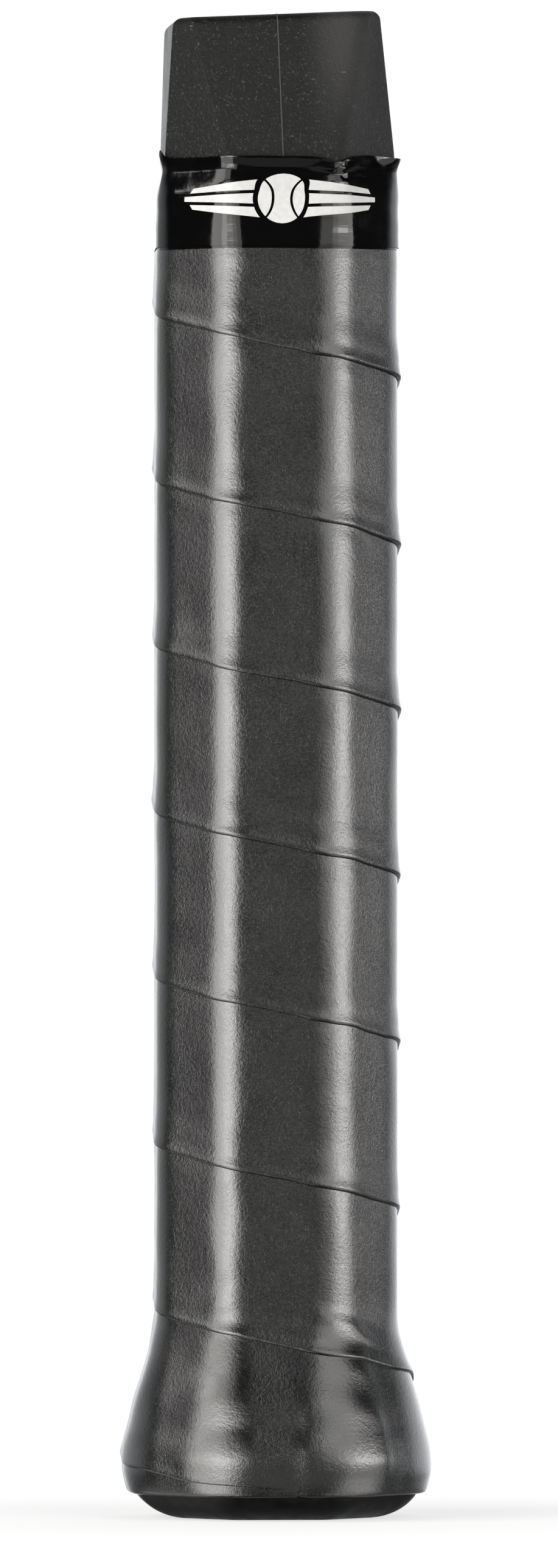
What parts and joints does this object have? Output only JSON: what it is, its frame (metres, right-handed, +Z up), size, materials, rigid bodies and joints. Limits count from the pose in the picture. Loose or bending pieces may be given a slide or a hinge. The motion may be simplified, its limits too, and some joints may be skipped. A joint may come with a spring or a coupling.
{
  "type": "wound racket handle grip",
  "caption": "Octagonal racket handle section with a flared butt, wound with overlapping grip tape held by glossy finishing film; the butt's snap-in door pulls out.",
  "frame": {"origin": "centre of the butt's resting face", "axes": "+Z up the handle's axis, -Y out of the wide front face, +X to the right of that face"},
  "size_m": [0.0459, 0.0414, 0.2249],
  "materials": {
    "pallet_nylon": "fine sparked moulding texture",
    "cap_plastic": "satin",
    "door_plastic": "satin",
    "staple_wire": "drawn wire",
    "adhesive": "tacky, clear",
    "tape_backing": "needled felt",
    "tape_cover": "smooth satin polyurethane",
    "film": "high gloss",
    "mark_ink": "printed ink"
  },
  "bodies": {
    "handle": {"pallet_half_left": "pallet_nylon", "pallet_half_right": "pallet_nylon", "butt_cap": "cap_plastic", "cap_staple_front": "staple_wire", "cap_staple_right": "staple_wire", "cap_staple_back": "staple_wire", "cap_staple_left": "staple_wire", "starter_adhesive": "adhesive", "grip_tape_backing": "tape_backing", "grip_tape_cover": "tape_cover", "finishing_film": "film", "finishing_film_mark": "mark_ink"},
    "door": {"butt_cap_door": "door_plastic"}
  },
  "joints": [
    {"name": "door_pull", "type": "slide", "parent": "handle", "child": "door", "axis": [0, 0, -1], "range_m": [0, 0.02]}
  ]
}
